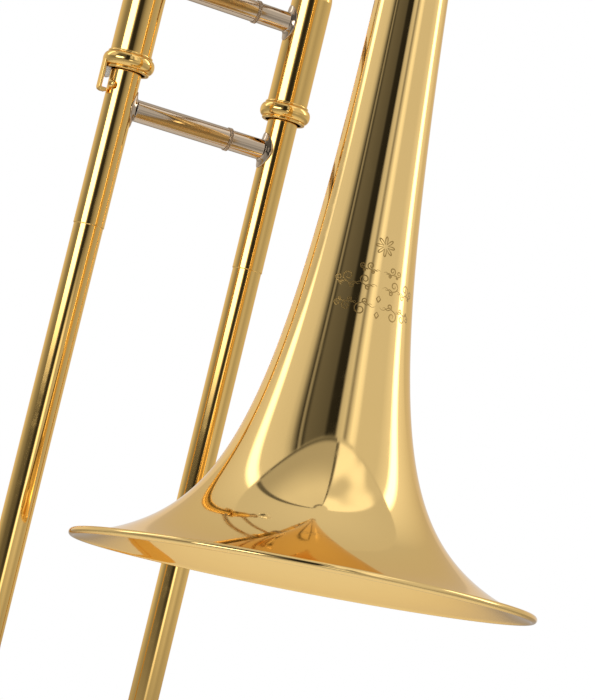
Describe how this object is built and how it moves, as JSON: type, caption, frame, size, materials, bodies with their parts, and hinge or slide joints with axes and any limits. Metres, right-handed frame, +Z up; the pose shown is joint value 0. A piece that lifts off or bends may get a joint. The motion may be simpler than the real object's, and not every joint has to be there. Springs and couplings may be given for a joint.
{
  "type": "trombone",
  "caption": "Straight tenor trombone in lacquered brass with a working hand slide, tuning slide, slide lock, water key and mouthpiece.",
  "frame": {"origin": "on the axis of the bell-side slide tube, level with the lower bell brace, where a stand's padded fork holds the instrument", "axes": "+Z up along the slide tubes, away from the bell's mouth; -X from the bell-side tube to the mouthpiece-side tube; the bell stands off towards -Y"},
  "size_m": [0.2062, 0.2778, 1.1483],
  "materials": {
    "lacquered_brass": "polished and lacquered",
    "nickel_silver": "polished",
    "bare_brass": "drawn, unlacquered",
    "plated_inner_tube": "chromed and honed",
    "silver_plate": "polished",
    "steel": "plain",
    "cork": "matte",
    "black_rubber": "matte",
    "white_nylon": "satin"
  },
  "bodies": {
    "bell_section": {"bell": "lacquered_brass", "bell_rim_wire": "bare_brass", "bell_ferrule": "nickel_silver", "bell_outer_leg": "lacquered_brass", "bell_leg_band": "nickel_silver", "neckpipe": "lacquered_brass", "neckpipe_tenon": "nickel_silver", "neck_ferrule": "nickel_silver", "neck_outer_leg": "lacquered_brass", "neck_leg_band": "nickel_silver", "upper_brace_tube": "nickel_silver", "upper_brace_flanges": "nickel_silver", "lower_brace_tube": "nickel_silver", "lower_brace_flanges": "nickel_silver"},
    "lock_nut": {"lock_nut": "nickel_silver"},
    "tuning_slide": {"tuning_bow": "lacquered_brass", "tuning_leg_neck": "nickel_silver", "tuning_leg_bell": "nickel_silver", "tuning_ferrule_neck": "nickel_silver", "tuning_ferrule_bell": "nickel_silver", "tuning_brace": "nickel_silver", "tuning_bow_guard": "nickel_silver"},
    "inner_slide": {"inner_tube_m": "plated_inner_tube", "inner_tube_n": "plated_inner_tube", "cork_barrel_m": "lacquered_brass", "cork_barrel_n": "lacquered_brass", "barrel_ring_n": "lacquered_brass", "barrel_corks": "cork", "hand_brace_tube": "nickel_silver", "hand_brace_sleeve": "nickel_silver", "hand_brace_ring": "nickel_silver", "hand_brace_flanges": "nickel_silver", "mouthpiece_receiver": "nickel_silver", "leadpipe": "bare_brass", "slide_receiver": "nickel_silver"},
    "mouthpiece": {"mouthpiece": "silver_plate"},
    "slide_lock": {"slide_lock_ring": "lacquered_brass", "slide_lock_pad": "white_nylon"},
    "outer_slide": {"outer_tube_m": "lacquered_brass", "outer_tube_n": "lacquered_brass", "oversleeve_m": "lacquered_brass", "oversleeve_n": "lacquered_brass", "outer_brace_tube": "nickel_silver", "outer_brace_sleeve": "nickel_silver", "outer_brace_ring": "nickel_silver", "outer_brace_flanges": "nickel_silver", "slide_bow": "lacquered_brass", "slide_bow_ferrules": "nickel_silver", "slide_bow_guard": "nickel_silver", "bumper_cup": "nickel_silver", "bumper": "black_rubber", "slide_lock_stud": "lacquered_brass", "water_key_nipple": "nickel_silver", "water_key_saddle": "nickel_silver", "water_key_screw": "steel"},
    "water_key": {"water_key_lever": "nickel_silver", "water_key_cork": "cork", "water_key_spring": "steel"}
  },
  "joints": [
    {"name": "bell_angle", "type": "hinge", "parent": "bell_section", "child": "inner_slide", "pos_m": [0, 0, -0.04], "axis": [0, 0, 1], "range_deg": [-20, 25]},
    {"name": "lock_nut_turn", "type": "hinge", "parent": "bell_section", "child": "lock_nut", "pos_m": [0, 0, -0.033], "axis": [0, 0, 1], "range_deg": [0, 180]},
    {"name": "tuning_slide_pull", "type": "slide", "parent": "bell_section", "child": "tuning_slide", "axis": [0, 0.1045, 0.9945], "range_m": [0, 0.05]},
    {"name": "hand_slide", "type": "slide", "parent": "inner_slide", "child": "outer_slide", "axis": [0, 0, -1], "range_m": [0, 0.6]},
    {"name": "mouthpiece_pull", "type": "slide", "parent": "inner_slide", "child": "mouthpiece", "axis": [0, 0, 1], "range_m": [0, 0.03]},
    {"name": "slide_lock_turn", "type": "hinge", "parent": "inner_slide", "child": "slide_lock", "pos_m": [-0.085, 0, -0.1136], "axis": [0, 0, 1], "range_deg": [0, 35]},
    {"name": "water_key_press", "type": "hinge", "parent": "outer_slide", "child": "water_key", "pos_m": [-0.02679, -0.012, -0.79799], "axis": [-0.3827, 0, 0.9239], "range_deg": [0, 10], "stiffness_Nm_per_rad": 0.03, "springref_deg": -34.38}
  ]
}
